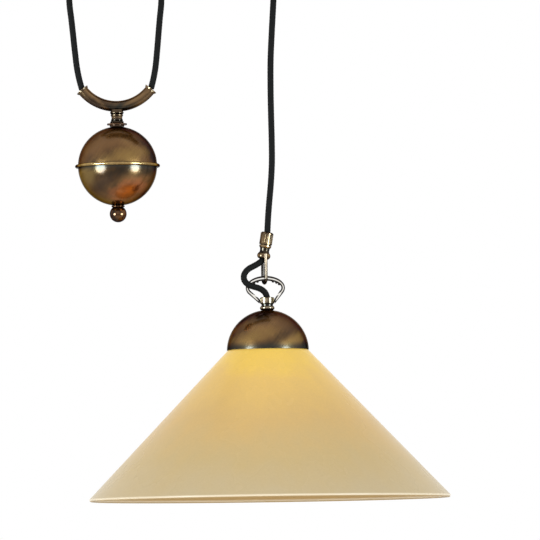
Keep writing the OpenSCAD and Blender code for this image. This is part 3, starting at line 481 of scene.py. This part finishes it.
LOOKS = {
    "antique": antique("antique_brass_look", AGED),
    # The cap, the shells and the tube carry patches and belts of painted reflection and painted shade
    "cap": antique("cap_look", AGED, [
        ((0.090, 0.020, -0.417), (0.016, 0.02, 0.009), -20, DARK, 0.9),
        ((0.118, 0.030, -0.430), (0.030, 0.03, 0.012), -25, BROWN, 0.8),
        ((0.084, 0.035, -0.440), (0.030, 0.03, 0.008), -14, OLIVE, 0.7),
        ((0.112, 0.040, -0.443), (0.022, 0.03, 0.007), -35, DARK, 0.8),
        ((0.133, 0.032, -0.444), (0.016, 0.02, 0.007), -40, OLIVE, 0.8)],
        (-0.4502, -0.4445, TEAL), rough=(0.24, 0.34)),
    "upper_shell": antique("upper_shell_look", AGED, [
        ((-0.0625, 0.010, -0.203), (0.030, 0.02, 0.010), 0, DARK, 0.8),
        ((-0.078, 0.030, -0.222), (0.034, 0.03, 0.015), -20, (0.17, 0.082, 0.026), 0.9),
        ((-0.050, 0.040, -0.236), (0.030, 0.02, 0.009), -12, OLIVE, 0.8)], rough=(0.26, 0.36)),
    "lower_shell": antique("lower_shell_look", AGED, [
        ((-0.0975, 0.0255, -0.257), (0.014, 0.02, 0.020), 20, (0.34, 0.22, 0.07), 0.95),
        ((-0.078, 0.034, -0.270), (0.030, 0.03, 0.010), -35, (0.055, 0.026, 0.009), 0.95),
        ((-0.034, 0.032, -0.254), (0.034, 0.03, 0.007), -8, TEAL, 0.9),
        ((-0.052, 0.036, -0.263), (0.026, 0.03, 0.006), -25, TAN, 0.8),
        ((-0.046, 0.030, -0.275), (0.026, 0.02, 0.011), -24, COPPER, 1.0)],
        (-0.2485, -0.254, TEAL)),
    "tube": antique("saddle_tube_look", [
        (0.36, DARK), (0.50, (0.10, 0.055, 0.021)), (0.64, (0.15, 0.082, 0.032)), (0.80, TAN)], [
        ((-0.058, 0.006, -0.181), (0.018, 0.02, 0.006), 0, TEAL, 0.9),
        ((-0.090, 0.006, -0.166), (0.022, 0.02, 0.003), 45, (0.26, 0.15, 0.06), 0.8),
        ((-0.040, 0.006, -0.171), (0.016, 0.02, 0.002), -30, (0.24, 0.14, 0.055), 0.7)]),
    "finial": polished("finial_look", (0.14, 0.062, 0.020), (0.02, 0.010, 0.005)),
    "polished": polished("polished_brass_look", (0.45, 0.32, 0.18), (0.06, 0.036, 0.020),
                         stretch=(1, 1, 0.15), mottle=260),
    "bright": polished("bright_brass_look", (0.46, 0.31, 0.12), (0.30, 0.19, 0.07), rough=(0.14, 0.24)),
    # The bail's near-white tones are a painted highlight, with painted shade along its edges
    "bail": polished("bail_look", (0.95, 0.93, 0.88), (0.80, 0.76, 0.68), ring=BAIL_RING),
    # The hook, nut, grip, collar and neck carry bands of painted reflection and painted shade by height, and
    # the hook's far leg painted shade
    "hook": polished("hook_look", (0.18, 0.125, 0.078), (0.10, 0.060, 0.036), rough=(0.10, 0.18), mottle=40,
                     shade_from_depth=0.001, bands=((0.0989, 0, -0.3805), 0, 0.038,
                                          [(0.0, 0.35), (0.2, 0.4), (0.55, 0.65), (0.9, 1.0)])),
    "nut": polished("grip_nut_look", (0.20, 0.13, 0.062), (0.04, 0.024, 0.012), mottle=75,
                    bands=(GRIP * MM, GRIP_LEAN, 0.0264,
                           [(0.46, 0.06), (0.50, 1.0), (0.95, 1.0), (1.0, 0.3)])),
    "grip": polished("grip_look", (0.40, 0.27, 0.13), (0.10, 0.06, 0.03), bands=(
        (0.0981, 0, -0.3523), GRIP_LEAN, 0.0157,
        [(0.0, 0.1), (0.12, 0.5), (0.26, 1.0), (0.42, 0.5), (0.50, 0.10), (0.82, 0.10), (0.90, 1.0),
         (1.0, 0.9)])),
    "collar": polished("collar_look", (0.42, 0.34, 0.22), (0.10, 0.075, 0.045), bands=(
        (0.1015, 0, -0.4089), 0, 0.0144,
        [(0.0, 0.05), (0.10, 0.25), (0.18, 0.9), (0.29, 0.5), (0.36, 0.05), (0.50, 0.05), (0.57, 0.5),
         (0.66, 1.0), (0.94, 0.8), (1.0, 0.2)])),
    "neck": polished("neck_look", (0.36, 0.235, 0.12), (0.12, 0.07, 0.035), bands=(
        (-0.0625, 0, -0.1938), 0, 0.0145,
        [(0.0, 0.10), (0.10, 0.5), (0.17, 1.0), (0.21, 0.15), (0.28, 0.6), (0.36, 0.10), (0.46, 0.15),
         (0.55, 0.45), (0.62, 0.10), (0.68, 0.5), (0.74, 0.10), (0.80, 0.4), (0.88, 1.0), (0.95, 0.1)])),
    "steel": steel("zinc_steel_look", (0.66, 0.67, 0.68), (0.42, 0.43, 0.45)),
    "iron": steel("cast_iron_look", (0.14, 0.135, 0.13), (0.07, 0.068, 0.065), (0.55, 0.75), 400),
    "aluminium": steel("aluminium_look", (0.80, 0.80, 0.79), (0.66, 0.66, 0.66), (0.2, 0.32), 500),
    "bakelite": moulded("bakelite_look", (0.030, 0.018, 0.012), (0.012, 0.008, 0.006), Coat_Weight=0.3),
    "rubber": moulded("rubber_look", (0.022, 0.022, 0.022), (0.012, 0.012, 0.012), (0.6, 0.75)),
    "plastic": moulded("white_plastic_look", (0.80, 0.79, 0.75), (0.70, 0.69, 0.65)),
    "ceramic": moulded("ceramic_look", (0.84, 0.83, 0.79), (0.76, 0.74, 0.69), (0.12, 0.2), Coat_Weight=0.5),
    "textile": textile("textile_cord_look"),
    "shade": glass_of_shade(),
    "bulb": glass_of_bulb(),
}

DRESSED = {
    "antique": ["canopy", "holder_cover"],
    "cap": ["cap"],
    "upper_shell": ["upper_shell"],
    "lower_shell": ["lower_shell"],
    "tube": ["saddle_tube"],
    "finial": ["finial_ball", "finial_collar", "neck_washer"],
    "polished": ["canopy_screws", "pulley_axles", "anchor_bush", "anchor_clamp", "terminal_screws",
                 "earth_terminal", "pulley_left", "pulley_right", "holder_contacts", "tube_ferrules"],
    "neck": ["neck"],
    "grip": ["grip_body"],
    "collar": ["inlet_collar"],
    "bright": ["equator_band"],
    "bail": ["bail"],
    "hook": ["suspension_hook"],
    "nut": ["grip_nut"],
    "steel": ["mounting_plate", "plate_tabs", "pulley_bracket_left", "pulley_bracket_right", "plate_screws",
              "axle_clips", "anchor_bracket", "anchor_nut", "tie_rod", "nipple", "nipple_nuts"],
    "iron": ["weight_core"],
    "aluminium": ["bulb_cap"],
    "bakelite": ["holder_body", "shade_ring_upper", "shade_ring_lower"],
    "rubber": ["shade_washer", "inlet_grommet", "grip_collet"],
    "plastic": ["terminal_block"],
    "ceramic": ["holder_insert"],
    "shade": ["glass_shade"],
    "bulb": ["bulb_glass"],
    "textile": ["cord_tail", "cord_over_pulleys", "cord_in_tube", "cord_in_grip", "cord_in_lamp",
                "cord_left_strand", "cord_right_strand", "cord_lamp_strand", "cord_slack_upper",
                "cord_slack_lower"],
}


def dress(obj, look):
    obj.data.materials.clear()
    obj.data.materials.append(LOOKS[look])


def dress_nodes():
    for look, names in DRESSED.items():
        for name in names:
            dress(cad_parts[name], look)


# ---- Cord ---------------------------------------------------------------------

# The cord and its braid, in metres
CORD_D = 0.007
CORD_SIDES = 32
CORD_STEP = 0.0007
BRAID_RIDGES = 8
BRAID_PITCH = 0.0036
BRAID_DEPTH = 0.00016
# The saddle tube's arc and a strand's offsets from the centre and heights, in millimetres and degrees
CENTRE_X = -62.5
SADDLE_Z = -131.3
SADDLE_R = 48
SADDLE_ANGLE = 53
STRAND_SHAPE = [(51.5, -54), (50.8, -68), (49.4, -80), (47.8, -96), (45.7, -118), (43.2, -139), (41, -150)]


def saddle_point(angle):
    a = math.radians(angle)
    return (CENTRE_X + SADDLE_R * math.sin(a), 0, SADDLE_Z - SADDLE_R * math.cos(a))


def arc(x, z, r, first, last, parts):
    """Points on a pulley's pitch circle, from one angle to the other."""
    angles = [math.radians(first + (last - first) * i / parts) for i in range(parts + 1)]
    return [(x + r * math.cos(a), 0, z + r * math.sin(a)) for a in angles]


# The height of the nut's top on the grip's axis, in millimetres, and the point where the slack's
# halves meet, with the direction in which it runs there
NUT_TOP = 26.4
SLACK_MIDDLE = (76.4, -8.6, -375)
SLACK_RUN = (0.28, 0.02, -0.96)
SLACK_UPPER = [(97.4, -0.4, -352.6), (94.6, -1.8, -355.2), (90.8, -3.6, -357.8), (86.4, -5.4, -360.2),
               (82, -6.8, -362.6), (78.4, -7.8, -365.9), (76.2, -8.4, -370.3), SLACK_MIDDLE]
SLACK_LOWER = [SLACK_MIDDLE, (79, -8.4, -378.9), (83, -7.6, -381.4), (87.4, -6.4, -382.9),
               (91.8, -5, -384.2), (96, -3.2, -386.2), (99.4, -1.5, -389.4), (101, -0.4, -393),
               (101.5, 0, -397)]
ROUTES = {
    "cord_tail": [(-114, 0, -47), (-114, 0, -30), (-114, 0, -24), (-112.9, 0, -18), (-109.7, 0, -13.6),
                  (-105, 0, -10.6), (-99.5, 0, -9.5), (-92, 0, -9.5)],
    "cord_over_pulleys": [(-11, 0, -54), *arc(9, -30, 20, 180, 90, 5), *arc(94, -30, 20, 90, 0, 5),
                          (114, 0, -54)],
    "cord_left_strand": [(-114, 0, -47), *[(CENTRE_X - x, 0, z) for x, z in STRAND_SHAPE],
                         saddle_point(-SADDLE_ANGLE)],
    "cord_right_strand": [*[(CENTRE_X + x, 0, z) for x, z in STRAND_SHAPE], saddle_point(SADDLE_ANGLE)],
    "cord_lamp_strand": [(114, 0, -54), (113, 0, -70), (111, 0, -100), (109.3, 0, -130), (108.8, 0, -160),
                         (108.9, 0, -190), (109.2, 0, -220), (109, 0, -245), (107.5, 0, -268),
                         (105.3, 0, -290), (103.8, 0, -307), grip_point(NUT_TOP)],
    "cord_in_tube": [saddle_point(-SADDLE_ANGLE + i * SADDLE_ANGLE / 4) for i in range(9)],
    "cord_slack_upper": [grip_point(NUT_TOP), grip_point(12), grip_point(2), *SLACK_UPPER],
    "cord_slack_lower": [*SLACK_LOWER, (101.5, 0, -401.5), (101.5, 0, -425.9)],
}
# The directions in which the slack's two halves start and end
ENDS = {
    "cord_slack_upper": ((-math.sin(GRIP_LEAN), 0, -math.cos(GRIP_LEAN)), SLACK_RUN),
    "cord_slack_lower": (SLACK_RUN, (0, 0, -1)),
}


def smooth_line(points, ends=None):
    """Points in metres, a step apart, on a curve through the given ones, which are in millimetres."""
    points = [Vector(p) * MM for p in points]
    first, last = ends or (points[1] - points[0], points[-1] - points[-2])
    tangents = []
    for i, p in enumerate(points):
        if i == 0:
            tangents.append(Vector(first).normalized())
        elif i == len(points) - 1:
            tangents.append(Vector(last).normalized())
        else:
            a, b = p - points[i - 1], points[i + 1] - p
            tangents.append((a.normalized() * b.length + b.normalized() * a.length).normalized())
    line = []
    for i in range(len(points) - 1):
        a, b = points[i], points[i + 1]
        chord = (b - a).length
        parts = max(2, math.ceil(chord / CORD_STEP))
        for k in range(parts):
            t = k / parts
            line.append(
                (2 * t**3 - 3 * t**2 + 1) * a + (t**3 - 2 * t**2 + t) * chord * tangents[i]
                + (3 * t**2 - 2 * t**3) * b + (t**3 - t**2) * chord * tangents[i + 1])
    return line + [points[-1]]


def braid_height(angle, along):
    """The relief of a plain braid: two sets of strands that pass over and under each other."""
    turn = BRAID_RIDGES * angle / 2
    run = math.pi * along / BRAID_PITCH
    one = abs(math.cos(turn + run))
    other = abs(math.cos(turn - run))
    over = 0.5 + 0.5 * math.tanh(2.5 * math.sin(2 * turn) * math.sin(2 * run))
    return one * over + other * (1 - over)


def tube(name, line, diameter):
    """A closed braided tube along the line."""
    tangent = (line[1] - line[0]).normalized()
    side = tangent.cross(Vector((0, 1, 0))).normalized()
    points, faces, along = [], [], 0.0
    for i, p in enumerate(line):
        ahead = (line[min(i + 1, len(line) - 1)] - line[max(i - 1, 0)]).normalized()
        side = (side - ahead * side.dot(ahead)).normalized()
        up = ahead.cross(side)
        if i:
            along += (p - line[i - 1]).length
        for k in range(CORD_SIDES):
            angle = 2 * math.pi * k / CORD_SIDES
            r = diameter / 2 - BRAID_DEPTH * (1 - braid_height(angle, along))
            points.append(p + r * (math.cos(angle) * side + math.sin(angle) * up))
    for i in range(len(line) - 1):
        for k in range(CORD_SIDES):
            a, b = i * CORD_SIDES + k, i * CORD_SIDES + (k + 1) % CORD_SIDES
            faces.append((a, b, b + CORD_SIDES, a + CORD_SIDES))
    faces.append(tuple(range(CORD_SIDES - 1, -1, -1)))
    faces.append(tuple(range((len(line) - 1) * CORD_SIDES, len(line) * CORD_SIDES)))
    return new_mesh(name, points, faces)


def new_mesh(name, points, faces):
    """A mesh object, smooth but for the flat ends of a tube."""
    mesh = bpy.data.meshes.new(name)
    mesh.from_pydata(points, [], faces)
    mesh.update()
    mesh.polygons.foreach_set("use_smooth", [len(f.vertices) <= 4 for f in mesh.polygons])
    obj = bpy.data.objects.new(name, mesh)
    bpy.context.scene.collection.objects.link(obj)
    return obj


RIDERS = {
    "cord_tail": "ceiling_fitting",
    "cord_over_pulleys": "ceiling_fitting",
    "cord_in_tube": "counterweight",
}

# The hidden ends of the slack are one piece with it
STOOD_FOR = {"cord_slack_upper": ["cord_in_grip"], "cord_slack_lower": ["cord_in_lamp"]}


def make_cords():
    for node, route in ROUTES.items():
        line = smooth_line(route, ENDS.get(node))
        piece = tube("braided_" + node, line, CORD_D)
        dress(piece, "textile")
        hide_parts(node, *STOOD_FOR.get(node, ()))
        if node in RIDERS:
            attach(piece, RIDERS[node])
            continue
        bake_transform(piece)


# ---- Put together ---------------------------------------------------------------

FLOOR_Z = -1.45
FLOOR_HALF = 12


def make_floor():
    corners = [(x * FLOOR_HALF, y * FLOOR_HALF, FLOOR_Z) for x, y in ((-1, -1), (1, -1), (1, 1), (-1, 1))]
    floor = new_mesh("floor", corners, [(0, 1, 2, 3)])
    look = bpy.data.materials.new("floor_look")
    look.use_nodes = True
    shader = look.node_tree.nodes["Principled BSDF"]
    shader.inputs["Base Color"].default_value = (0.86, 0.86, 0.85, 1)
    shader.inputs["Roughness"].default_value = 0.8
    floor.data.materials.append(look)


make_camera()
make_light()
make_world()
make_floor()
dress_nodes()
make_cords()
bpy.context.scene.view_settings.view_transform = "Standard"
